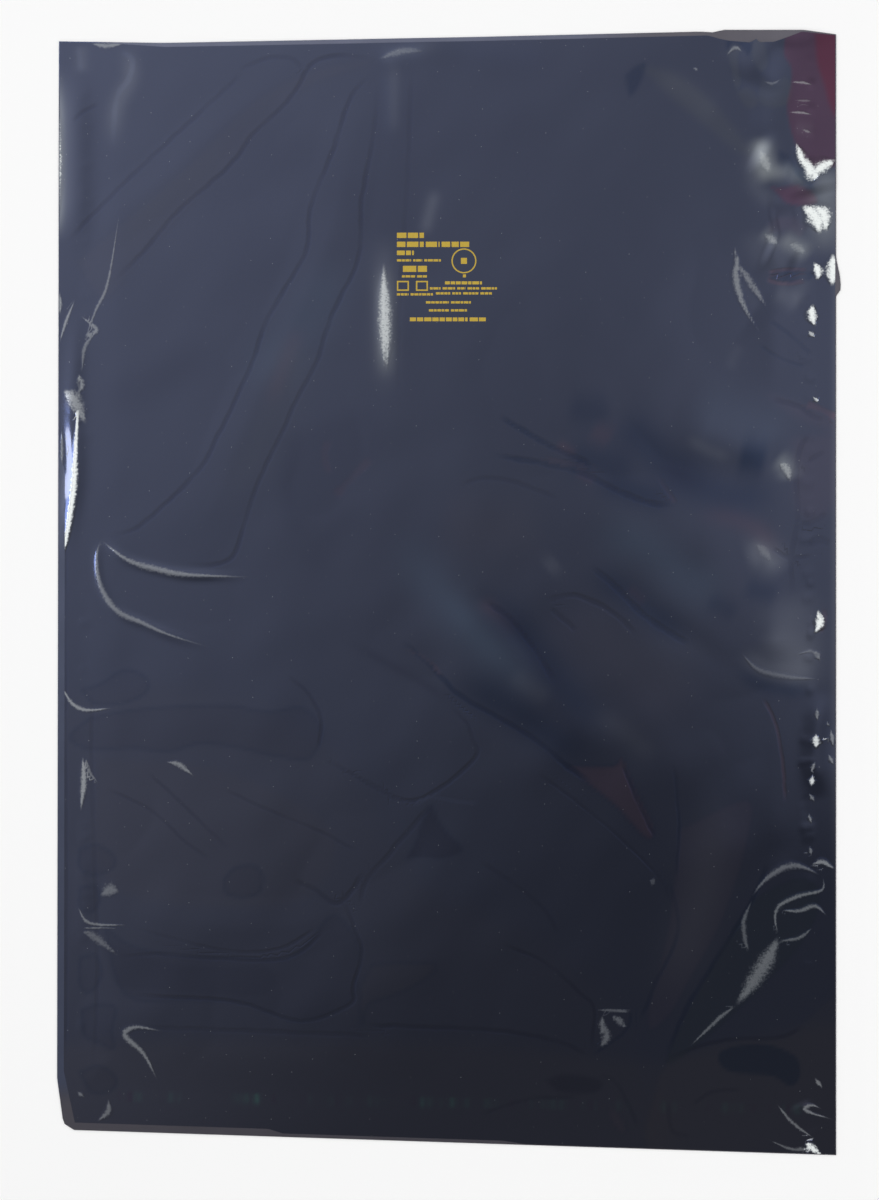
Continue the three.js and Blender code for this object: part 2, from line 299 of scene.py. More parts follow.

# Creases that tint the film along a line with painted shade and painted coloured reflection: the tint,
# the half width in millimetres, the strength and the points
creaseShades = [
    ("dusk", 1.3, 0.72, [(60, 250), (112, 196), (168, 143), (210, 104), (247, 70)]),
    ("dusk", 1.3, 0.96, [(108, 288), (146, 250), (180, 210), (230, 166), (253, 135), (283, 107), (300,
      84), (311, 65), (337, 56), (379, 60)]),
    ("dusk", 1.3, 1, [(376, 70), (351, 98), (334, 149), (311, 208), (306, 253), (269, 317), (253, 362),
      (236, 400), (219, 434), (202, 467), (166, 504), (135, 529), (107, 537)]),
    ("dusk", 1.3, 1, [(380, 73), (373, 140), (362, 202), (359, 258), (333, 314), (317, 362), (297, 400),
      (281, 436), (264, 470), (253, 498), (244, 526), (233, 557), (210, 565), (180, 565)]),
    ("dusk", 1.3, 0.42, [(412, 60), (408, 180), (400, 300), (398, 400)]),
    ("deepShade", 1.6, 0.9, [(499, 416), (522, 430), (554, 448), (581, 460), (590, 468)]),
    ("deepShade", 1.6, 0.9, [(490, 455), (535, 462), (581, 473), (613, 489), (649, 503), (676, 505)]),
    ("ember", 1.3, 0.5, [(545, 458), (570, 464), (598, 468)]),
    ("ember", 1.3, 0.6, [(658, 478), (668, 492), (676, 505)]),
    ("deepShade", 1.6, 0.6, [(590, 566), (612, 584), (640, 612), (668, 632), (690, 645)]),
    ("ember", 0.9, 0.9, [(763, 698), (776, 725), (783, 766), (785, 803)]),
    ("deepShade", 1.5, 1, [(399, 639), (431, 666), (458, 694), (495, 716), (535, 739), (567, 766), (595,
      785)]),
    ("ember", 1.3, 0.6, [(408, 648), (432, 664), (440, 674)]),
    ("deepShade", 1.2, 0.8, [(622, 762), (640, 807), (656, 838)]),
    ("ember", 2.2, 0.4, [(330, 475), (325, 455), (329, 440)]),
    ("ember", 2.2, 0.4, [(335, 497), (350, 480), (372, 458)]),
    ("dusk", 1.2, 0.84, [(447, 702), (466, 722), (474, 740), (476, 757), (441, 788), (410, 801), (376,
      788), (349, 772), (322, 759)]),
    ("paleReflection", 1.2, 0.3, [(414, 807), (430, 796), (452, 800), (480, 802)]),
    ("dusk", 1.0, 0.72, [(105, 788), (152, 811), (186, 842), (213, 861)]),
    ("dusk", 1.0, 0.72, [(148, 772), (186, 807), (233, 853)]),
    ("dusk", 1.0, 0.6, [(221, 788), (271, 811), (325, 834), (360, 853)]),
    ("dusk", 1.0, 0.6, [(132, 927), (210, 948), (256, 952), (287, 946), (318, 927)]),
    ("dusk", 1.3, 0.84, [(362, 1025), (422, 1027), (500, 1031), (560, 1042), (590, 1056)]),
    ("dusk", 1.3, 0.48, [(140, 1028), (220, 1030), (300, 1033), (380, 1036)]),
    ("dusk", 1.0, 0.6, [(535, 771), (595, 816), (654, 871), (672, 905)]),
    ("deepShade", 1.3, 0.8, [(769, 860), (752, 900), (712, 966), (686, 1009), (664, 1061)]),
    ("dusk", 1.2, 0.96, [(662, 1061), (696, 1047), (732, 1039), (779, 1037), (805, 1026)]),
    ("dusk", 1.1, 0.84, [(500, 943), (546, 963), (580, 993), (594, 1009), (591, 1056)]),
    ("deepShade", 1.1, 0.6, [(631, 1010), (626, 1030), (591, 1056)]),
    ("dusk", 1.25, 0.72, [(73, 122), (84, 112), (99, 104)]),
    ("paleReflection", 1.5, 0.3, [(78, 45), (81, 71)]),
    ("dusk", 1.12, 0.72, [(287, 675), (310, 695), (322, 722), (318, 750)]),
    ("dusk", 1.12, 0.72, [(325, 760), (364, 780), (403, 803)]),
    ("dusk", 1.12, 0.6, [(117, 957), (163, 954), (210, 958), (287, 958), (329, 927)]),
    ("dusk", 1.12, 0.72, [(341, 892), (356, 930), (362, 954), (353, 988), (351, 1004), (302, 1021), (237,
      1002), (171, 997), (125, 995)]),
    ("dusk", 1.12, 0.6, [(480, 1115), (530, 1099), (580, 1097)]),
    ("dusk", 1.12, 0.6, [(692, 1105), (712, 1092), (742, 1089)]),
    ("deepShade", 1.0, 0.7, [(676, 880), (679, 825), (674, 766)]),
    ("dusk", 1.3, 0.6, [(814, 428), (800, 448), (796, 480), (798, 518), (791, 556), (793, 600)]),
    ("deepShade", 2.2, 0.6, [(788, 150), (800, 172), (815, 186)]),
    ("plum", 3.0, 0.8, [(765, 228), (790, 224), (806, 232)]),
    ("paleReflection", 1.6, 0.4, [(118, 50), (132, 60), (128, 80), (116, 100), (112, 150)]),
    ("deepShade", 1.2, 0.6, [(668, 875), (678, 930), (655, 985), (640, 1022)]),
    ("dusk", 1.25, 0.6, [(480, 860), (540, 905), (560, 935)]),
    ("dusk", 1.25, 0.48, [(93, 690), (92, 760), (95, 850), (98, 960), (94, 1080)]),
    ("dusk", 1.0, 0.72, [(66, 480), (66, 700), (67, 900), (66, 1080)]),
    ("dusk", 1.25, 0.6, [(600, 1075), (618, 1085), (640, 1130)]),
    ("dusk", 1.25, 0.48, [(668, 1100), (672, 1130), (690, 1136)]),
    ("dusk", 1.4, 0.7, [(545, 600), (577, 596), (613, 613), (637, 635)]),
    ("dusk", 1.4, 0.6, [(550, 608), (577, 631)]),
    ("dusk", 1.3, 0.5, [(462, 486), (485, 478), (520, 484), (560, 500)]),
    ("dusk", 1.4, 0.8, [(294, 880), (316, 890), (340, 903), (367, 869)]),
    ("dusk", 1.3, 0.6, [(238, 72), (262, 60), (288, 58), (306, 70)]),
    ("dusk", 1.4, 0.6, [(432, 804), (410, 830), (388, 856), (366, 882), (361, 905)]),
    ("deepShade", 1.6, 0.7, [(484, 600), (512, 620), (534, 648), (556, 684)]),
    ("dusk", 1.5, 0.8, [(770, 400), (795, 405), (812, 416), (824, 420)]),
    ("dusk", 1.4, 0.9, [(800, 524), (814, 522), (826, 513)]),
    ("dusk", 2.0, 0.9, [(808, 545), (818, 540), (830, 544)]),
    ("dusk", 1.4, 0.8, [(808, 462), (816, 456), (824, 452)]),
    ("ember", 1.6, 0.8, [(806, 403), (820, 409), (838, 418)]),
    ("dusk", 1.3, 0.6, [(772, 548), (790, 558), (812, 556)]),
    ("ember", 1.3, 0.8, [(824, 608), (824, 622), (820, 632)]),
    ("ember", 1.0, 0.9, [(768, 273), (785, 270), (808, 270)]),
    ("ember", 1.2, 0.9, [(766, 279), (782, 284), (806, 281)]),
    ("deepShade", 1.2, 0.5, [(768, 320), (792, 336), (812, 356)]),
    ("deepShade", 1.0, 0.4, [(758, 345), (784, 360), (806, 366)]),
]

# Faint upright ticks that the sealing bar left along the bottom weld: their places are in pixels
ticks = {
    "count": 110,
    "across": (110, 800),
    "down": 1096,
    "slope": 0.019,
    "half": 7,
    "width": (0.5, 1.1),  # millimetres
    "tint": "teal",
    "strength": (-0.3, 0.7),
    "seed": 11,
}

# Broad soft painted light and shade: painted highlights, sheen and reflections, and painted shade, given in
# the same way as the creases
lightAndShadeVeils = [
    ("paleReflection", 3, 0.6, [(375, 62), (400, 52), (430, 50)]),
    ("paleReflection", 5, 0.25, [(440, 50), (560, 55)]),
    ("paleReflection", 5, 0.4, [(768, 45), (772, 75), (780, 105)]),
    ("paleReflection", 4, 0.25, [(745, 115), (775, 118)]),
    ("paleReflection", 2.5, 0.4, [(735, 92), (745, 88), (783, 100)]),
    ("paleReflection", 3.0, 0.45, [(829, 712), (832, 745), (830, 777)]),
    ("paleReflection", 2.2, 0.3, [(384, 62), (387, 100), (386, 150)]),
    ("paleReflection", 9, 0.2, [(760, 700), (740, 800), (720, 860)]),
    ("shade", 7, 0.8, [(400, 60), (404, 200), (400, 330), (398, 420)]),
    ("shade", 8, 0.7, [(420, 60), (540, 72), (620, 70), (700, 62)]),
    ("shade", 8, 0.8, [(100, 420), (160, 380), (230, 350)]),
    ("shade", 12, 0.8, [(210, 100), (330, 180), (440, 260)]),
    ("shade", 7, 0.9, [(375, 500), (330, 540), (300, 580)]),
    ("ashReflection", 7, 0.5, [(300, 330), (280, 400), (215, 530)]),
    ("ashReflection", 5, 0.25, [(110, 250), (180, 190), (240, 140)]),
    ("deepShade", 6, 0.7, [(562, 407), (590, 411), (616, 408)]),
    ("deepShade", 7, 1, [(608, 414), (640, 438), (670, 466), (720, 490)]),
    ("deepShade", 6, 0.9, [(558, 455), (600, 462), (645, 470)]),
    ("deepShade", 5, 1, [(590, 478), (635, 492), (680, 505)]),
    ("deepShade", 7, 1, [(650, 458), (690, 482), (740, 498), (790, 482)]),
    ("deepShade", 6, 1.5, [(735, 455), (770, 462)]),
    ("deepShade", 7, 1, [(440, 672), (500, 700), (550, 735), (610, 772)]),
    ("deepShade", 6.5, 1, [(470, 588), (510, 620), (545, 662), (580, 705), (620, 745)]),
    ("deepShade", 5, 1, [(584, 562), (620, 592), (655, 618), (700, 648)]),
    ("ember", 2.6, 0.9, [(476, 597), (500, 616), (524, 636)]),
    ("ember", 1.8, 0.8, [(626, 586), (636, 596), (646, 606)]),
    ("ember", 4, 0.6, [(590, 427), (614, 441)]),
    ("ember", 1.8, 0.8, [(555, 442), (578, 456)]),
    ("ember", 1.6, 0.7, [(575, 471), (597, 482)]),
    ("ember", 3.6, 0.6, [(688, 517), (722, 515), (748, 524), (767, 540), (776, 565)]),
    ("sheen", 8, 1.2, [(402, 520), (425, 572), (456, 617), (492, 655), (535, 695)]),
    ("sheen", 8, 1.4, [(580, 522), (640, 545), (690, 580), (735, 604)]),
    ("sheen", 10, 0.6, [(680, 400), (740, 420), (800, 448)]),
    ("sheen", 8, 0.8, [(240, 400), (300, 330), (350, 250)]),
    ("glow", 3.6, 0.4, [(508, 670), (530, 688), (554, 702)]),
    ("glow", 4, 0.4, [(590, 708), (628, 735), (660, 764)]),
    ("glow", 3.5, 0.6, [(545, 571), (559, 560)]),
    ("glow", 2.2, 0.6, [(683, 436), (708, 450), (735, 460)]),
    ("glow", 5, 1.3, [(742, 560), (765, 555), (786, 576)]),
    ("flare", 1.6, 0.2, [(750, 539), (764, 552), (776, 570)]),
    ("flare", 3.2, 0.8, [(774, 457), (786, 467), (790, 483)]),
    ("deepShade", 4, 0.8, [(740, 585), (762, 592), (782, 599)]),
    ("deepShade", 3.5, 0.6, [(704, 599), (722, 607), (740, 616)]),
    ("glow", 9, 0.9, [(782, 585), (796, 640), (800, 700)]),
    ("deepShade", 2.6, 0.9, [(730, 664), (759, 684), (789, 690), (818, 690)]),
    ("ashReflection", 14, 0.35, [(430, 520), (492, 528), (560, 530)]),
    ("ashReflection", 14, 0.35, [(550, 615), (640, 660), (710, 695)]),
    ("glow", 4, 0.25, [(652, 72), (690, 92), (724, 124)]),
    ("flare", 3.2, 1.8, [(760, 134), (763, 160), (771, 186)]),
    ("flare", 2.6, 0.7, [(768, 180), (788, 172), (810, 188)]),
    ("glow", 3, 0.6, [(750, 145), (755, 185), (780, 208)]),
    ("flare", 5.0, 0.8, [(828, 160), (826, 200), (824, 262)]),
    ("flare", 2.4, 0.5, [(760, 230), (770, 238), (782, 250)]),
    ("flare", 3.0, 0.9, [(778, 238), (795, 246), (812, 258)]),
    ("glow", 5, 0.5, [(755, 225), (765, 255), (800, 272)]),
    ("glow", 2.2, 0.4, [(792, 128), (816, 130)]),
    ("flare", 2.0, 1, [(57, 62), (58, 130), (58, 200), (57, 245)]),
    ("glow", 4, 0.8, [(60, 64), (60, 160), (60, 246)]),
    ("glow", 3, 0.8, [(124, 42), (131, 75), (117, 108), (112, 156)]),
    ("glow", 2.4, 0.5, [(81, 42), (82, 76)]),
    ("glow", 2.2, 0.9, [(437, 186), (430, 212), (423, 240)]),
    ("glow", 3.2, 0.8, [(772, 290), (788, 298), (802, 308)]),
    ("glow", 2, 0.5, [(394, 56), (394, 140)]),
    ("shade", 24, 0.9, [(320, 110), (450, 140), (600, 110)]),
    ("shade", 20, 0.6, [(190, 130), (250, 220), (300, 300)]),
    ("dusk", 1.6, 0.7, [(340, 637), (385, 662), (425, 684), (452, 706)]),
    ("glow", 6, 0.8, [(760, 630), (790, 652), (822, 668)]),
    ("glow", 3.2, 0.8, [(738, 646), (760, 665), (790, 673), (826, 676)]),
    ("flare", 2.6, 0.9, [(384, 262), (385, 320), (386, 384)]),
    ("glow", 4.2, 0.8, [(385, 228), (385, 310), (386, 404)]),
    ("ember", 3.2, 0.3, [(302, 322), (286, 360), (266, 414)]),
    ("glow", 2.4, 0.4, [(378, 62), (402, 52), (446, 44)]),
    ("glow", 8, 0.6, [(716, 780), (708, 870), (692, 930), (660, 1014)]),
    ("glow", 1.3, 0.8, [(836, 150), (836, 400), (835, 700), (836, 1000)]),
    ("sheen", 4.5, 1.0, [(432, 575), (470, 625), (505, 662), (546, 700)]),
    ("deepShade", 3.2, 0.6, [(486, 598), (520, 635), (545, 668), (574, 705)]),
    ("plum", 12, 0.5, [(550, 590), (620, 660), (710, 730)]),
    ("plum", 10, 0.4, [(430, 508), (490, 530), (550, 516)]),
    ("glow", 2.5, 0.5, [(806, 262), (800, 290), (790, 300)]),
    ("plum", 5, 0.6, [(768, 226), (786, 222), (806, 228)]),
    ("glow", 2.0, 0.25, [(742, 342), (734, 356), (729, 374)]),
    ("glow", 2.2, 0.2, [(742, 276), (750, 296), (759, 316)]),
]

# Sharp pinches that crack the metal layer and catch the light, painted pale as glints: the paleness is a
# painted highlight, partly the real whitening of the cracked metal. The half width in millimetres, how pale
# they turn, and the points
pinchGlints = [
    (1.49, 0.2, [(101, 540), (128, 560), (160, 570), (190, 575), (252, 577)]),
    (1.36, 0.17, [(101, 540), (97, 555), (99, 580), (108, 600), (122, 614), (145, 624), (170, 635), (212,
      648)]),
    (1.36, 1.0, [(80, 380), (76, 450), (74, 490), (66, 540), (59, 563)]),
    (0.74, 0.22, [(75, 300), (66, 322), (60, 342)]),
    (0.68, 0.15, [(120, 212), (108, 283), (96, 310), (85, 340)]),
    (0.99, 0.26, [(60, 683), (72, 703), (87, 710), (112, 708)]),
    (1.49, 0.29, [(83, 757), (84, 780), (81, 811)]),
    (0.74, 0.16, [(86, 757), (90, 772), (98, 783)]),
    (1.24, 0.22, [(167, 762), (180, 765), (194, 776)]),
    (3.0, 0.16, [(101, 896), (110, 890), (119, 892)]),
    (0.74, 0.19, [(78, 907), (90, 923), (128, 925)]),
    (1.86, 0.13, [(82, 931), (95, 937), (119, 956)]),
    (1.36, 0.22, [(163, 1031), (136, 1027), (125, 1035), (144, 1054), (158, 1081)]),
    (1.36, 0.19, [(98, 1121), (108, 1112), (109, 1100)]),
    (1.49, 0.19, [(752, 896), (765, 880), (785, 867), (802, 867), (820, 875)]),
    (1.24, 0.16, [(752, 900), (744, 920), (745, 940), (749, 951)]),
    (0.99, 0.22, [(823, 877), (822, 890), (799, 896), (779, 906), (775, 920), (779, 936)]),
    (3.9, 0.22, [(779, 936), (769, 956), (752, 983), (735, 1006)]),
    (0.99, 0.19, [(735, 1006), (719, 1018), (690, 1046)]),
    (0.99, 0.22, [(779, 910), (799, 911), (815, 906), (827, 916)]),
    (0.87, 0.18, [(779, 941), (799, 938), (812, 928)]),
    (1.61, 0.19, [(603, 1015), (602, 1035)]),
    (1.12, 0.19, [(617, 1018), (626, 1028)]),
    (0.62, 0.15, [(596, 1010), (631, 1010)]),
    (0.81, 0.22, [(777, 1104), (792, 1122), (815, 1139)]),
    (0.74, 0.19, [(769, 1140), (792, 1149), (815, 1149)]),
    (1.61, 1.0, [(805, 1141), (812, 1148), (822, 1155)]),
    (0.87, 0.26, [(822, 1109), (812, 1105), (804, 1108), (812, 1113), (835, 1120)]),
    (1.24, 0.29, [(812, 865), (822, 862), (835, 869)]),
    (1.55, 0.22, [(734, 245), (737, 262), (736, 278), (743, 304), (760, 334)]),
    (1.55, 0.18, [(737, 262), (750, 282), (768, 309)]),
    (1.86, 0.26, [(778, 463), (786, 468), (790, 482)]),
    (1.98, 1.0, [(818, 610), (820, 622), (815, 633)]),
    (0.81, 0.16, [(727, 55), (735, 48), (742, 52)]),
    (0.74, 0.11, [(764, 82), (772, 84), (780, 80)]),
    (3.8, 1.0, [(802, 206), (815, 216), (820, 234)]),
    (2.8, 1.0, [(815, 207), (824, 214), (826, 232)]),
    (0.62, 0.22, [(791, 83), (802, 83), (812, 85)]),
    (0.62, 0.22, [(788, 113), (801, 113), (812, 115)]),
    (0.56, 0.11, [(795, 101), (812, 101)]),
    (0.68, 0.16, [(802, 130), (811, 133)]),
    (2.0, 1.0, [(814, 262), (818, 271), (817, 280)]),
    (3.2, 1.0, [(833, 254), (833, 270), (832, 286)]),
    (2.1, 1.0, [(813, 304), (812, 315), (815, 326)]),
    (1.24, 0.5, [(809, 331), (814, 337)]),
    (0.99, 0.26, [(60, 293), (60, 314)]),
    (1.61, 0.26, [(79, 374), (83, 392)]),
    (0.99, 0.19, [(81, 316), (97, 330), (84, 336)]),
    (0.87, 0.15, [(97, 331), (85, 347), (82, 372)]),
    (0.99, 0.22, [(817, 708), (817, 720)]),
    (1.85, 0.75, [(816, 734), (816, 748)]),
    (0.99, 0.29, [(815, 762), (811, 772)]),
    (1.43, 0.75, [(813, 776), (811, 786)]),
    (0.87, 0.26, [(810, 794), (814, 802)]),
    (0.87, 0.26, [(809, 814), (811, 823)]),
    (0.87, 0.22, [(810, 846), (811, 856)]),
    (0.99, 0.26, [(831, 730), (833, 746)]),
    (0.99, 0.26, [(829, 755), (833, 764)]),
    (0.81, 0.22, [(827, 722), (829, 726)]),
    (1.24, 0.19, [(814, 650), (820, 660)]),
    (0.99, 0.26, [(815, 1078), (822, 1088)]),
    (0.87, 0.22, [(797, 1147), (806, 1150)]),
    (0.99, 0.19, [(78, 1092), (84, 1097)]),
    (0.74, 0.16, [(694, 68), (698, 71)]),
    (0.74, 0.16, [(62, 430), (62, 470)]),
    (0.87, 0.19, [(58, 960), (59, 1010)]),
    (1.2, 0.18, [(92, 44), (106, 46), (124, 44)]),
    (1.6, 0.11, [(378, 60), (400, 52), (428, 50)]),
    (3.4, 0.29, [(64, 390), (74, 400), (86, 424)]),
    (2.0, 0.11, [(650, 880), (656, 883)]),
    (2.2, 0.18, [(600, 1018), (606, 1036), (600, 1048)]),
    (1.8, 0.18, [(611, 1014), (627, 1027)]),
    (1.1, 0.09, [(741, 653), (759, 670), (789, 677), (818, 679)]),
    (0.8, 0.1, [(796, 655), (811, 651), (818, 657), (820, 661)]),
    (2.2, 1.0, [(55, 76), (56, 130), (56, 190), (55, 244)]),
    (2.8, 0.5, [(384, 262), (385, 320), (386, 372)]),
    (2.0, 0.07, [(756, 544), (764, 551), (771, 562)]),
    (1.8, 1.0, [(796, 143), (802, 159), (813, 179)]),
    (3.0, 1.0, [(806, 158), (812, 174), (818, 178)]),
    (2.6, 1.0, [(813, 176), (822, 167), (836, 160)]),
    (2.2, 0.18, [(760, 150), (765, 162), (769, 174)]),
    (1.9, 0.21, [(764, 234), (771, 239), (778, 246)]),
    (1.9, 0.14, [(788, 243), (798, 248), (806, 254)]),
    (1.0, 0.6, [(814, 397), (818, 402)]),
]


# A smooth line through the points, as Catmull and Rom draw it
def smoothLine(points, steps=6):
    points = [Vector(point) for point in points]
    ends = [2 * points[0] - points[1], *points, 2 * points[-1] - points[-2]]
    line = []
    for a, b, c, d in zip(ends, ends[1:], ends[2:], ends[3:]):
        for step in range(steps):
            t = step / steps
            line.append(0.5 * (2 * b + (c - a) * t + (2 * a - 5 * b + 4 * c - d) * t * t
                               + (3 * b - a - 3 * c + d) * t ** 3))
    return [*line, points[-1]]


def smoothStep(value, start, end):
    t = np.clip((value - start) / (end - start), 0, 1)
    return t * t * (3 - 2 * t)


# The points within reach of a line: which they are, how far to its left, and their share of it
def alongLine(x, y, through, reach):
    line = smoothLine(through)
    xs, ys = [p.x for p in line], [p.y for p in line]
    near = np.flatnonzero((x > min(xs) - reach) & (x < max(xs) + reach)
                          & (y > min(ys) - reach) & (y < max(ys) + reach))
    px, py = x[near], y[near]
    best = np.full(px.shape, np.inf)
    share = np.zeros_like(px)
    side = np.zeros_like(px)
    for step, (a, b) in enumerate(zip(line, line[1:])):
        run = b - a
        t = np.clip(((px - a.x) * run.x + (py - a.y) * run.y) / run.length_squared, 0, 1)
        dx, dy = px - a.x - t * run.x, py - a.y - t * run.y
        distance = np.hypot(dx, dy)
        closer = distance < best
        best = np.where(closer, distance, best)
        share = np.where(closer, (step + t) / (len(line) - 1), share)
        side = np.where(closer, np.sign(run.x * dy - run.y * dx), side)
    return near, best * side, share


def taperAt(share, fade):
    return smoothStep(share, 0, fade) * (1 - smoothStep(share, 1 - fade, 1))


# How strokes are drawn. Reaches are in a stroke's own widths, margins and the rim in millimetres.
strokes = {
    "softReach": 3.0,
    "kink": 0.15,  # how far the crest of a kinked fold is rounded
    "lineReach": 1.4,
    "searchMargin": 4.0,
    "edgeMargin": 0.8,
    "narrow": 1.5,  # narrower lines keep the sign of the distance, which stays sharp on the mesh
    "rim": 0.7,
    "cornerSteps": 4,  # pieces from one corner of a patch to the next
    "creaseFade": 0.12,
    "pinchFade": 0.15,
    "pinchTaper": 0.45,
    "pinchThinnest": 0.25,
    "farAway": 99.0,
}


# The profile of one stroke at each point of the film: 1 on its crest, fading to both ends
def strokeAt(x, y, through, width, lean=0.0, fade=0.3, kinked=False):
    result = np.zeros_like(x)
    near, across, share = alongLine(x, y, through, strokes["softReach"] * width)
    away = across / (width * (1 - lean * np.sign(across)))
    if kinked:
        profile = np.clip(1 + strokes["kink"] - np.hypot(away, strokes["kink"]), 0, 1)
    else:
        profile = np.exp(-away ** 2)
    result[near] = taperAt(share, fade) * profile
    return result


# The gap between the films at each point, in metres
def filmGap(x, y):
    weld = bag["sideWeld"] * millimetre
    fromSide = bag["width"] / 2 - np.abs(x) - weld
    fromBottom = y - bag["skew"] * x + bag["length"] / 2 - bag["bottomWeld"] * millimetre
    slope = bag["weldSlope"] * millimetre
    opened = smoothStep(fromSide, 0, slope) * smoothStep(fromBottom, 0, 2 * slope)
    lift = np.full_like(x, bag["restingGap"] * millimetre)
    for fold in folds.values():
        through = [onTable(*point) for point in fold["through"]]
        lift += fold["height"] * millimetre * strokeAt(x, y, through, fold["width"] * millimetre,
                                                       fold.get("lean", 0.0), fold.get("fade", 0.3),
                                                       fold.get("kinked", False))
    lift += gentleWaves(x, y)
    least = bag["closestGap"] * millimetre * smoothStep(np.minimum(fromSide, fromBottom), 0, slope)
    return np.maximum(least, opened * lift + weldPuckers(x, y))


# How far the curled edges lift both films off the table
def edgeLift(x, y):
    lift = np.zeros_like(x)
    for curl in curls.values():
        through = [onTable(*point) for point in curl["through"]]
        lift += curl["height"] * millimetre * strokeAt(x, y, through, curl["width"] * millimetre,
                                                       fade=curl.get("fade", 0.3))
    return lift


# Slow seeded waves, so that no stretch of film is quite flat
def gentleWaves(x, y):
    dice = random.Random(flutter["seed"])
    total = np.zeros_like(x)
    for _ in range(flutter["waves"]):
        length = dice.uniform(*flutter["length"]) * millimetre
        angle = dice.uniform(0, math.pi)
        phase = dice.uniform(0, 2 * math.pi)
        turn = 2 * math.pi * (x * math.cos(angle) + y * math.sin(angle)) / length + phase
        total += flutter["height"] / math.sqrt(flutter["waves"]) * length * np.sin(turn)
    return total


# Short puckers that run in from both side welds
def weldPuckers(x, y):
    dice = random.Random(puckers["seed"])
    total = np.zeros_like(x)
    for side in (-1, 1):
        along = -bag["length"] / 2
        while along < bag["length"] / 2:
            along += dice.uniform(*puckers["pitch"]) * millimetre
            inner = side * (bag["width"] / 2 - bag["sideWeld"] * millimetre)
            reach = side * dice.uniform(puckers["shortest"], 1) * puckers["reach"] * millimetre
            drop = dice.uniform(-puckers["drift"], puckers["drift"]) * millimetre
            through = [(inner, along), (inner - reach / 2, along + drop / 2), (inner - reach, along + drop)]
            height = dice.uniform(puckers["lowest"], 1) * dice.choice(puckers["turns"])
            height *= puckers["height"][side] * millimetre
            width = dice.uniform(*puckers["width"]) * millimetre
            total += height * strokeAt(x, y, through, width, fade=puckers["fade"])
    return total


# Grid lines from 0 to 1 whose spacing, in millimetres, follows the given stops
def gridLines(stops, length):
    shares, steps = zip(*stops)
    lines = [0.0]
    while lines[-1] < 1:
        lines.append(lines[-1] + np.interp(lines[-1], shares, steps) * millimetre / length)
    return np.array(lines) / lines[-1]


# A film as a mesh: a fine upper face, its cut edge and, if asked for, its underside
def makeFilm(name, insets, acrossLines, alongLines, heightAt, hasUnderside):
    across, along = np.meshgrid(acrossLines, alongLines)
    x, y = onOutline(across.ravel(), along.ravel(), insets)
    top = heightAt(x, y)
    rows, columns = across.shape
    index = np.arange(rows * columns).reshape(rows, columns)
    quads = np.stack([index[:-1, :-1], index[:-1, 1:], index[1:, 1:], index[1:, :-1]], -1).reshape(-1, 4)
    rim = np.concatenate([index[0, :-1], index[:-1, -1], index[-1, :0:-1], index[:0:-1, 0]])
    count = len(x)
    upper = np.stack([x, y, top], 1)
    rimTop, rimFoot = upper[rim], upper[rim] - (0, 0, film)
    vertices = [upper, rimTop, rimFoot]
    this = np.arange(len(rim))
    following = np.roll(this, -1)
    foot = count + len(rim)
    edge = np.stack([foot + this, foot + following, count + following, count + this], -1)
    faces = [quads, edge]
    if hasUnderside:
        vertices.append(upper - (0, 0, film))
        faces.append(quads[:, ::-1] + foot + len(rim))
    mesh = bpy.data.meshes.new(name)
    mesh.from_pydata(np.concatenate(vertices).tolist(), [], np.concatenate(faces).tolist())
    smooth = np.ones(len(mesh.polygons), bool)
    smooth[len(quads):len(quads) + len(edge)] = False
    mesh.polygons.foreach_set("use_smooth", smooth)
    piece = bpy.data.objects.new(name, mesh)
    bpy.context.scene.collection.objects.link(piece)
    return piece


# How far each point lies inside a closed outline, in metres; negative outside it
def depthInside(x, y, around):
    inside = np.zeros(x.shape, bool)
    nearest = np.full(x.shape, np.inf)
    for a, b in zip(around, [*around[1:], around[0]]):
        run = b - a
        t = np.clip(((x - a.x) * run.x + (y - a.y) * run.y) / run.length_squared, 0, 1)
        nearest = np.minimum(nearest, np.hypot(x - a.x - t * run.x, y - a.y - t * run.y))
        if a.y != b.y:
            crosses = (a.y > y) != (b.y > y)
            inside ^= crosses & (x < a.x + (y - a.y) * run.x / run.y)
    return np.where(inside, nearest, -nearest)


def tinted(tone, tint, amount):
    change = amount[:, None] * (np.array(tints[tint]) - 1)
    return tone + change if min(tints[tint]) > 1 else tone * (1 + change)


# The tone of the film at each point: its patches of painted reflection, its veils of painted light and
# shade, and the weld ticks
def reflectionsAndTicksAt(x, y):
    tone = np.ones((len(x), 3))
    for tint, edge, rim, around in reflectionPatches:
        corners = smoothLine([onTable(*point) for point in (*around, around[0])], strokes["cornerSteps"])
        depth = depthInside(x, y, corners[:-1])
        half = edge / 2 * millimetre
        tone = tinted(tone, tint, smoothStep(depth, -half, half))
        # a rim of painted shade along the crease round the patch
        tone = tinted(tone, "deepShade", rim * np.exp(-(depth / (strokes["rim"] * millimetre)) ** 2))
    for tint, width, amount, points in lightAndShadeVeils:
        through = [onTable(*point) for point in points]
        tone = tinted(tone, tint, amount * strokeAt(x, y, through, width * millimetre))
    dice = random.Random(ticks["seed"])
    for _ in range(ticks["count"]):
        across = dice.uniform(*ticks["across"])
        down = ticks["down"] + (across - ticks["across"][0]) * ticks["slope"]
        through = [onTable(across, down - ticks["half"]), onTable(across, down + ticks["half"])]
        mark = strokeAt(x, y, through, dice.uniform(*ticks["width"]) * millimetre)
        tone = tinted(tone, ticks["tint"], dice.uniform(*ticks["strength"]) * mark)
    return tone


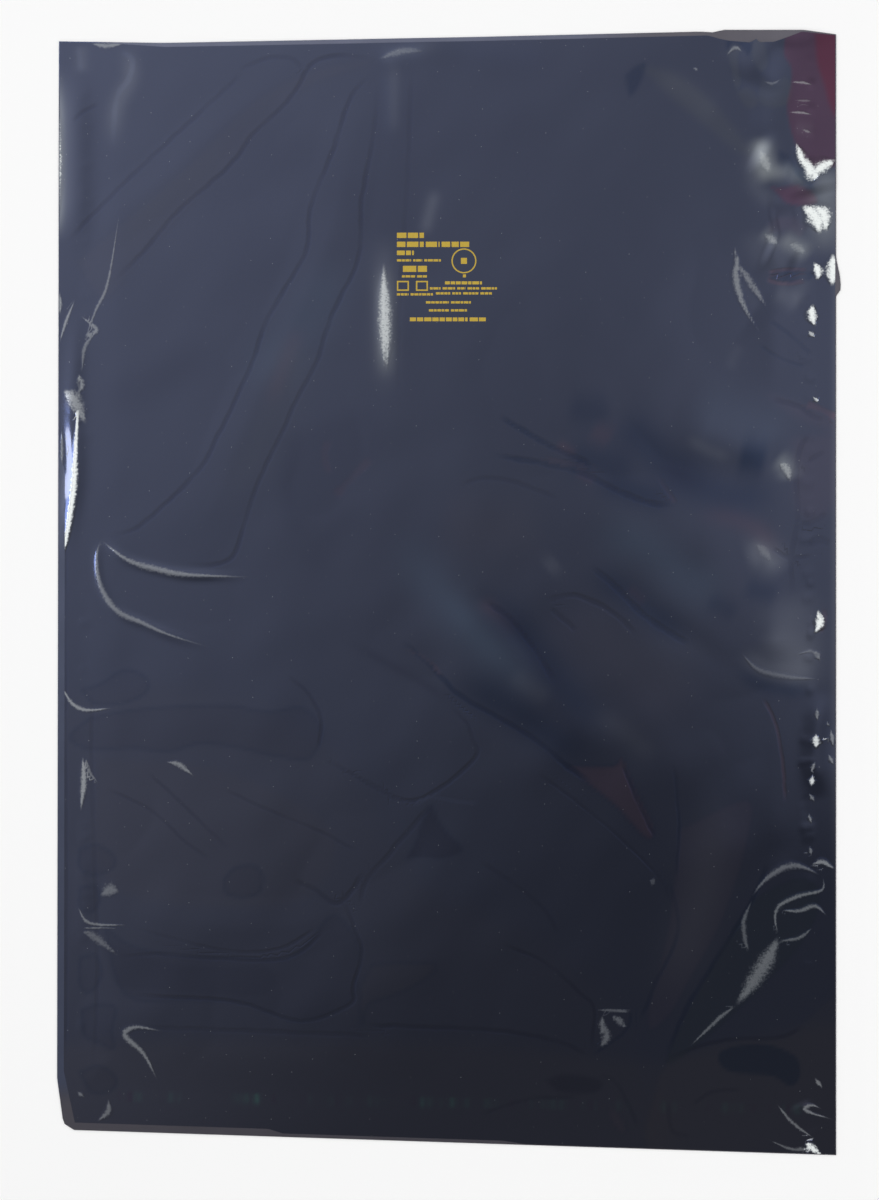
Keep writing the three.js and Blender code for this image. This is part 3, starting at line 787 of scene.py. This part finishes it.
# Lays a line over those before it. Each point of the film keeps the line that is nearest in that
# line's own widths. Gives the points that this one takes, and its strength at each.
def layLine(x, y, side, points, width, fade, thinnest=1.0):
    through = [onTable(*point) for point in points]
    search = (strokes["lineReach"] * width + strokes["searchMargin"]) * millimetre
    near, across, share = alongLine(x, y, through, search)
    if width > strokes["narrow"]:
        across = np.abs(across)
    thinning = thinnest + (1 - thinnest) * taperAt(share, strokes["pinchTaper"])
    across = across / (width * millimetre * thinning)
    limit = strokes["lineReach"] + strokes["edgeMargin"] / width
    strength = taperAt(share, fade) * (np.abs(across) < limit)
    closer = np.abs(across) < np.abs(side[near])
    side[near[closer]] = across[closer]
    return near[closer], strength[closer]


# Writes the film's tone, its creases' painted shade and its pinches' painted glints onto the mesh, for its
# material to read
def paintFilm(piece):
    places = np.array([vertex.co for vertex in piece.data.vertices])
    x, y = places[:, 0].copy(), places[:, 1].copy()
    writeColours(piece, "tone", reflectionsAndTicksAt(x, y), np.ones_like(x))

    side, strength = np.full_like(x, strokes["farAway"]), np.zeros_like(x)
    colour = np.ones((len(x), 3))
    for tint, width, amount, points in creaseShades:
        taken, share = layLine(x, y, side, points, width, strokes["creaseFade"])
        colour[taken] = tints[tint]
        strength[taken] = amount * share
    writeValues(piece, "creaseSide", side)
    writeColours(piece, "creaseShadeTint", colour, strength)

    side, strength = np.full_like(x, strokes["farAway"]), np.zeros_like(x)
    for width, white, points in pinchGlints:
        taken, share = layLine(x, y, side, points, width, strokes["pinchFade"], strokes["pinchThinnest"])
        strength[taken] = white * share
    writeValues(piece, "pinchSide", side)
    writeValues(piece, "pinchGlintStrength", strength)


def writeColours(piece, name, colours, alphas):
    attribute = piece.data.attributes.new(name, "FLOAT_COLOR", "POINT")
    attribute.data.foreach_set("color", np.column_stack([colours, alphas]).ravel())


def writeValues(piece, name, values):
    piece.data.attributes.new(name, "FLOAT", "POINT").data.foreach_set("value", values)


def frontHeight(x, y):
    return 2 * film + filmGap(x, y) + edgeLift(x, y)


def backHeight(x, y):
    return film + edgeLift(x, y)


# How far apart the meshes' lines lie: (share of the way, millimetres)
spacings = {
    "frontAcross": [(0, 0.7), (0.12, 0.9), (0.3, 1.3), (0.7, 1.3), (0.85, 0.8), (1, 0.7)],
    "frontAlong": [(0, 1.05), (1, 1.05)],
    "backAcross": [(0, 1), (0.15, 4), (0.8, 4), (0.85, 1)],
    "backAlong": [(0, 2)],
    "quickFactor": 2.0,
}
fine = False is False
coarseness = 1.0 if fine else spacings["quickFactor"]
frontAcross, frontAlong = [[(share, spacing * coarseness) for share, spacing in spacings[way]]
                           for way in ("frontAcross", "frontAlong")]
frontFilm = makeFilm("front_film", frontInsets, gridLines(frontAcross, bag["width"]),
                     gridLines(frontAlong, bag["length"]), frontHeight, hasUnderside=False)
backFilm = makeFilm("back_film", backInsets, gridLines(spacings["backAcross"], bag["width"]),
                    gridLines(spacings["backAlong"], bag["length"]), backHeight, hasUnderside=True)
for piece in (frontFilm, backFilm):
    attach(piece, "root")
    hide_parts("shielding_bag")
paintFilm(frontFilm)

# What shows of the back film: its left lip is bluish, its mouth pale and its bottom dark. Each tone
# comes in between two distances from the bag's middle, in metres, towards the sides that are named.
lips = {
    "left": {"tone": (0.5, 0.62, 0.85), "towards": {"left": (0.115, 0.118), "mouth": (-0.178, -0.17)}},
    "mouth": {"tone": (1.1, 1.25, 1.5), "towards": {"left": (-0.08, -0.04), "mouth": (0.17, 0.175)}},
    "bottom": {"tone": (0.7, 0.7, 0.72), "towards": {"bottom": (0.17, 0.176)}},
}


def paintLips(piece):
    places = np.array([vertex.co for vertex in piece.data.vertices])
    distance = {"left": -places[:, 0], "mouth": places[:, 1], "bottom": -places[:, 1]}
    tone = np.ones((len(places), 3))
    for lip in lips.values():
        share = np.ones(len(places))
        for side, (start, end) in lip["towards"].items():
            share *= smoothStep(distance[side], start, end)
        tone *= 1 + share[:, None] * (np.array(lip["tone"]) - 1)
    writeColours(piece, "tone", tone, np.ones(len(places)))


paintLips(backFilm)
print("films made:", len(frontFilm.data.polygons), "faces on the front")

# The film's look; scales are for each metre, depths in metres and edges in the widths of a line
filmLook = {
    "colour": (0.032, 0.043, 0.093),
    # the colour of the painted glints on the pinches
    "pinchGlintColour": (0.84, 0.88, 0.87),
    "inside": (0.105, 0.1, 0.12),
    "roughness": 0.09,
    "pinchedRoughness": 0.32,
    "roughAt": 0.52,  # how pale a pinch is once it is fully rough
    "metalLost": 1.4,  # how fast a pinch stops being metallic as it pales
    "coatWeight": 1.0,
    "coatRoughness": 0.035,
    "speckPaleness": 0.26,
    "creaseDepth": 0.00003,
    "creaseEdge": (1.0, 0.2),
    "wander": 0.9,
    "wanderScale": 170.0,
    "patchiness": (0.25, 0.6, 0.45, 1.0),  # the noise from and to, and the strength at each
    "patchScale": 60.0,
    "pinchDepth": 0.00015,
    "pinchEdge": (1.0, 0.1),
    "ridgeEdge": (1.6, 0.0),
    "feather": 1.3,
    "featherScale": 1500.0,
}
innerLook = {"paleness": 1.3, "cloudScale": 90.0, "grain": 2.0, "metallic": 0.6, "roughness": 0.25}
inkLook = {
    "colour": (0.52, 0.36, 0.03),
    "worn": 0.8,  # the colour of its worn spots, as a share of its own
    "wornScale": 1500.0,
    "roughness": 0.45,
    "thickness": 0.02,  # millimetres
}
grainLook = {
    "rippleScale": 420.0,
    "ripple": 0.000005,
    "speckScale": 140.0,
    "speckSize": 0.018,
    "emptyCells": 0.45,  # share of the cells that have no speck
    "detail": 4.0,
}


# Adds a node, sets its settings and feeds its inputs with sockets or plain values
def addNode(tree, kind, inputs=None, **settings):
    node = tree.nodes.new(kind)
    for name, value in settings.items():
        setattr(node, name, value)
    for name, value in (inputs or {}).items():
        if isinstance(value, bpy.types.NodeSocket):
            tree.links.new(value, node.inputs[name])
        else:
            node.inputs[name].default_value = value
    return node


def calculate(tree, operation, *values, clamp=False):
    node = addNode(tree, "ShaderNodeMath", dict(enumerate(values)), operation=operation, use_clamp=clamp)
    return node.outputs["Value"]


def ramp(tree, value, low, high, first=0.0, last=1.0):
    inputs = {"Value": value, "From Min": low, "From Max": high, "To Min": first, "To Max": last}
    return addNode(tree, "ShaderNodeMapRange", inputs, interpolation_type="SMOOTHSTEP").outputs["Result"]


def mixColours(tree, factor, first, second, blend="MIX"):
    inputs = {"Factor": factor, "A": first, "B": second}
    return addNode(tree, "ShaderNodeMix", inputs, data_type="RGBA", blend_type=blend).outputs["Result"]


def attribute(tree, name):
    return addNode(tree, "ShaderNodeAttribute", attribute_name=name).outputs


def noise(tree, scale, detail=2.0):
    place = addNode(tree, "ShaderNodeTexCoord").outputs["Object"]
    inputs = {"Vector": place, "Scale": scale, "Detail": detail}
    return addNode(tree, "ShaderNodeTexNoise", inputs).outputs["Fac"]


# Fine ripples of the film and specks of dust on it
def makeGrain():
    tree = bpy.data.node_groups.new("filmGrain", "ShaderNodeTree")
    for name in ("Ripple scale", "Ripple", "Speck scale", "Speck size"):
        tree.interface.new_socket(name, in_out="INPUT", socket_type="NodeSocketFloat")
    for name in ("Height", "Specks"):
        tree.interface.new_socket(name, in_out="OUTPUT", socket_type="NodeSocketFloat")
    given = addNode(tree, "NodeGroupInput").outputs
    waves = noise(tree, given["Ripple scale"], grainLook["detail"])
    ripple = calculate(tree, "MULTIPLY", waves, given["Ripple"])
    place = addNode(tree, "ShaderNodeTexCoord").outputs["Object"]
    cells = addNode(tree, "ShaderNodeTexVoronoi", {"Vector": place, "Scale": given["Speck scale"]},
                    voronoi_dimensions="2D").outputs
    chance = addNode(tree, "ShaderNodeSeparateColor", {"Color": cells["Color"]}).outputs
    radius = calculate(tree, "MULTIPLY", given["Speck size"], chance["Red"])
    speck = calculate(tree, "LESS_THAN", cells["Distance"], radius)
    filled = calculate(tree, "GREATER_THAN", chance["Green"], grainLook["emptyCells"])
    specks = calculate(tree, "MULTIPLY", speck, filled)
    addNode(tree, "NodeGroupOutput", {"Height": ripple, "Specks": specks})
    return tree


grainGroup = makeGrain()


def addGrain(tree, share=1.0):
    inputs = {"Ripple scale": grainLook["rippleScale"], "Ripple": grainLook["ripple"] * share,
              "Speck scale": grainLook["speckScale"], "Speck size": grainLook["speckSize"]}
    node = addNode(tree, "ShaderNodeGroup", node_tree=grainGroup)
    for name, value in inputs.items():
        node.inputs[name].default_value = value
    return node.outputs


def newMaterial(name):
    material = bpy.data.materials.new(name)
    material.use_nodes = True
    return material, material.node_tree, material.node_tree.nodes["Principled BSDF"].inputs


# Noise that shifts a line's edge to and fro by up to half the given amount
def unevenEdge(tree, scale, amount):
    return calculate(tree, "MULTIPLY_ADD", noise(tree, scale, grainLook["detail"]), amount, -amount / 2)


def reliefOf(tree, height):
    inputs = {"Strength": 1.0, "Distance": 1.0, "Height": height}
    return addNode(tree, "ShaderNodeBump", inputs).outputs["Normal"]


def makeFilmMaterial():
    material, tree, shader = newMaterial("metallised_film")
    grain = addGrain(tree)
    # the tone holds painted reflections, light and shade, and the weld ticks
    colour = mixColours(tree, 1.0, (*filmLook["colour"], 1), attribute(tree, "tone")["Color"], "MULTIPLY")

    # creases, whose painted shade tints the film along a wandering line
    shift = unevenEdge(tree, filmLook["wanderScale"], filmLook["wander"])
    side = calculate(tree, "ABSOLUTE", calculate(tree, "ADD", attribute(tree, "creaseSide")["Fac"], shift))
    line = ramp(tree, side, *filmLook["creaseEdge"])
    tint = attribute(tree, "creaseShadeTint")
    patchy = ramp(tree, noise(tree, filmLook["patchScale"]), *filmLook["patchiness"])
    creaseShadeAmount = calculate(tree, "MULTIPLY", calculate(tree, "MULTIPLY", line, tint["Alpha"]), patchy)
    colour = mixColours(tree, creaseShadeAmount, colour, mixColours(tree, 1.0, colour, tint["Color"], "MULTIPLY"))

    # pinches and specks, which are pale, rough and no longer metallic: a pinch's paleness is a painted
    # glint, partly the real whitening of cracked metal, and the specks are dust
    ragged = unevenEdge(tree, filmLook["featherScale"], filmLook["feather"])
    away = calculate(tree, "ABSOLUTE", attribute(tree, "pinchSide")["Fac"])
    crest = ramp(tree, calculate(tree, "ADD", away, ragged), *filmLook["pinchEdge"])
    strength = attribute(tree, "pinchGlintStrength")["Fac"]
    specks = calculate(tree, "MULTIPLY", grain["Specks"], filmLook["speckPaleness"])
    pale = calculate(tree, "MAXIMUM", calculate(tree, "MULTIPLY", crest, strength), specks)
    metallic = calculate(tree, "MULTIPLY_ADD", pale, -filmLook["metalLost"], 1.0, clamp=True)
    colour = mixColours(tree, pale, colour, (*filmLook["pinchGlintColour"], 1))
    inside = addNode(tree, "ShaderNodeNewGeometry").outputs["Backfacing"]
    colour = mixColours(tree, inside, colour, (*filmLook["inside"], 1))

    ridge = calculate(tree, "MULTIPLY", ramp(tree, away, *filmLook["ridgeEdge"]), strength)
    height = calculate(tree, "MULTIPLY_ADD", ridge, filmLook["pinchDepth"], grain["Height"])
    height = calculate(tree, "MULTIPLY_ADD", creaseShadeAmount, -filmLook["creaseDepth"], height)
    tree.links.new(colour, shader["Base Color"])
    tree.links.new(metallic, shader["Metallic"])
    tree.links.new(ramp(tree, pale, 0.0, filmLook["roughAt"], filmLook["roughness"],
                        filmLook["pinchedRoughness"]), shader["Roughness"])
    tree.links.new(reliefOf(tree, height), shader["Normal"])
    shader["Coat Weight"].default_value = filmLook["coatWeight"]
    shader["Coat Roughness"].default_value = filmLook["coatRoughness"]
    return material


# The back film shows its inner face along the lips, cloudy and a little paler in places
def makeInnerMaterial():
    material, tree, shader = newMaterial("film_inner_face")
    grain = addGrain(tree, innerLook["grain"])
    pale = [share * innerLook["paleness"] for share in filmLook["inside"]]
    clouds = noise(tree, innerLook["cloudScale"])
    colour = mixColours(tree, clouds, (*filmLook["inside"], 1), (*pale, 1))
    colour = mixColours(tree, 1.0, colour, attribute(tree, "tone")["Color"], "MULTIPLY")
    tree.links.new(colour, shader["Base Color"])
    tree.links.new(reliefOf(tree, grain["Height"]), shader["Normal"])
    shader["Metallic"].default_value = innerLook["metallic"]
    shader["Roughness"].default_value = innerLook["roughness"]
    return material


def makeInkMaterial():
    material, tree, shader = newMaterial("yellow_ink")
    grain = addGrain(tree)
    worn = [share * inkLook["worn"] for share in inkLook["colour"]]
    spots = noise(tree, inkLook["wornScale"])
    tree.links.new(mixColours(tree, spots, (*inkLook["colour"], 1), (*worn, 1)), shader["Base Color"])
    tree.links.new(reliefOf(tree, grain["Height"]), shader["Normal"])
    shader["Roughness"].default_value = inkLook["roughness"]
    return material


frontFilm.data.materials.append(makeFilmMaterial())
backFilm.data.materials.append(makeInnerMaterial())
print("materials made")

# Generic printed marks, in the photo's pixels. Each bar is left, top, right, bottom and how many
# words it has; a word is cut into blocks as letters would be.
marks = {
    "bars": [
        (397, 232, 424, 239, 1), (397, 241, 471, 248, 3), (397, 250, 414, 256, 1),
        (397, 259, 441, 262, 3), (403, 265, 427, 273, 1), (402, 275, 427, 278, 2),
        (397, 293, 433, 296, 2), (463, 274, 466, 278, 1), (445, 281, 482, 285, 1),
        (430, 287, 497, 290, 5), (436, 292, 492, 295, 4), (426, 301, 471, 304, 2),
        (429, 309, 467, 312, 2), (410, 317, 486, 322, 2),
    ],
    "frames": [(397, 281, 409, 291), (416, 281, 428, 291)],
    "frameLine": 1.4,
    "ring": {"centre": (464, 261), "outer": 12.5, "inner": 11.2, "sides": 48},
    "dot": {"centre": (464, 261), "size": 6},
    "wordGap": 2.0,
    "twoWords": (0.2, 0.8),  # where one of two words may end
    "wordShift": 0.2,  # of a word's length, where there are more
    "letter": (0.8, 1.7),  # this and the next three are shares of a bar's height
    "letterGap": 0.2,
    "leastLetter": 0.15,
    "inkShare": 0.76,
    "seed": 5,
}


# Printed shapes as flat cells that follow the film
def makeMarks():
    corners = []
    dice = random.Random(marks["seed"])

    def addCell(left, top, right, bottom):
        corners.extend([(left, bottom), (right, bottom), (right, top), (left, top)])

    def addBlocks(left, top, right, bottom):
        height = bottom - top
        thinner = height * (1 - marks["inkShare"]) / 2
        top, bottom = top + thinner, bottom - thinner
        while left < right - marks["leastLetter"] * height:
            stop = min(right, left + height * dice.uniform(*marks["letter"]))
            addCell(left, top, stop, bottom)
            left = stop + height * marks["letterGap"]

    for left, top, right, bottom, words in marks["bars"]:
        cuts = [0, *sorted(dice.uniform(*marks["twoWords"]) for _ in range(words - 1)), 1]
        if words > 2:
            shift = marks["wordShift"]
            cuts = [0, *[(k + dice.uniform(-shift, shift)) / words for k in range(1, words)], 1]
        for start, stop in zip(cuts, cuts[1:]):
            wordLeft = left + (right - left) * start
            wordRight = left + (right - left) * stop - (marks["wordGap"] if stop < 1 else 0)
            addBlocks(wordLeft, top, wordRight, bottom)
    line = marks["frameLine"]
    for left, top, right, bottom in marks["frames"]:
        addCell(left, top, right, top + line)
        addCell(left, bottom - line, right, bottom)
        addCell(left, top + line, left + line, bottom - line)
        addCell(right - line, top + line, right, bottom - line)
    centreX, centreY = marks["dot"]["centre"]
    half = marks["dot"]["size"] / 2
    addCell(centreX - half, centreY - half, centreX + half, centreY + half)
    sides = marks["ring"]["sides"]
    turns = [2 * math.pi * k / sides for k in range(sides + 1)]
    for a, b in zip(turns, turns[1:]):
        for angle, radius in ((a, "inner"), (b, "inner"), (b, "outer"), (a, "outer")):
            reach = marks["ring"][radius]
            corners.append((centreX + reach * math.cos(angle), centreY + reach * math.sin(angle)))
    places = np.array([onTable(*corner) for corner in corners])
    lift = frontHeight(places[:, 0], places[:, 1]) + inkLook["thickness"] * millimetre
    count = len(corners)
    mesh = bpy.data.meshes.new("printed_marks")
    faces = np.arange(count).reshape(-1, 4)
    mesh.from_pydata(np.column_stack([places, lift]).tolist(), [], faces.tolist())
    piece = bpy.data.objects.new("printed_marks", mesh)
    bpy.context.scene.collection.objects.link(piece)
    return piece


printedMarks = makeMarks()
printedMarks.data.materials.append(makeInkMaterial())
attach(printedMarks, "root")
print("marks printed:", len(printedMarks.data.polygons), "cells")

# The table, the light and the pale room
stageValues = {
    "floorSize": 3.0,
    "floorColour": (0.93, 0.93, 0.93),
    "floorRoughness": 0.9,
    "floorDrop": 0.0002,  # below the bag, so that the two faces don't coincide
    "lamps": {
        "left": {"place": (-0.75, 0.1, 0.75), "size": (0.12, 0.6), "power": 1.9},
        "right": {"place": (0.75, 0.1, 0.75), "size": (0.12, 0.6), "power": 1.9},
        "far": {"place": (-0.1, 0.85, 0.8), "size": (0.6, 0.12), "power": 1.3},
        "near": {"place": (0.2, -0.85, 0.8), "size": (0.6, 0.12), "power": 1.3},
    },
}
roomValues = {
    "gradient": (-1.3, 1.3, 0.0),
    "overhead": 0.36,
    "darkest": 0.2,
    "softness": 0.12,  # of the step to the darkest part
    "horizon": 0.74,
    "horizonRise": (0.93, 0.5),  # the height where it starts to pale, and where it is palest
    "glow": 0.45,
    "glowPlace": (0.25, 0.06, 0.97),
    "glowReach": (0.3, 0.12),
}


def makeStage():
    bpy.ops.mesh.primitive_plane_add(size=stageValues["floorSize"],
                                     location=(0, 0, -stageValues["floorDrop"]))
    floor = bpy.context.object
    floor.name = "floor"
    material = bpy.data.materials.new("white_table")
    material.use_nodes = True
    tree = material.node_tree
    shader = tree.nodes["Principled BSDF"]
    shader.inputs["Base Color"].default_value = (*stageValues["floorColour"], 1)
    shader.inputs["Roughness"].default_value = stageValues["floorRoughness"]
    floor.data.materials.append(material)

    for name, values in stageValues["lamps"].items():
        data = bpy.data.lights.new(name + "_lamp", "AREA")
        data.shape = "RECTANGLE"
        data.size, data.size_y = values["size"]
        data.energy = values["power"]
        lamp = bpy.data.objects.new(name + "_lamp", data)
        lamp.location = values["place"]
        lamp.rotation_euler = Vector(values["place"]).to_track_quat("Z", "Y").to_euler()
        bpy.context.scene.collection.objects.link(lamp)

    world = bpy.data.worlds.new("pale_room")
    world.use_nodes = True
    tree = world.node_tree
    background = tree.nodes["Background"]
    background.inputs["Color"].default_value = (1, 1, 1, 1)
    direction = addNode(tree, "ShaderNodeTexCoord").outputs["Generated"]
    split = addNode(tree, "ShaderNodeSeparateXYZ", {"Vector": direction}).outputs
    # overhead, the room pales from the lower right to the upper left
    slope = addNode(tree, "ShaderNodeVectorMath", {0: direction, 1: roomValues["gradient"]},
                    operation="DOT_PRODUCT").outputs["Value"]
    overhead = calculate(tree, "ADD", slope, roomValues["overhead"])
    aside = addNode(tree, "ShaderNodeVectorMath", {0: direction, 1: roomValues["glowPlace"]},
                    operation="DISTANCE")
    glow = ramp(tree, aside.outputs["Value"], *roomValues["glowReach"], 0.0, roomValues["glow"])
    overhead = calculate(tree, "ADD", overhead, glow)
    overhead = calculate(tree, "SMOOTH_MAX", overhead, roomValues["darkest"], roomValues["softness"])
    ring = ramp(tree, split["Z"], *roomValues["horizonRise"])  # pale towards the horizon
    strength = addNode(tree, "ShaderNodeMix", {"Factor": ring, "A": overhead, "B": roomValues["horizon"]},
                       data_type="FLOAT").outputs["Result"]
    tree.links.new(strength, background.inputs["Strength"])
    bpy.context.scene.world = world


makeStage()
bpy.context.scene.view_settings.view_transform = "Standard"
print("stage made")
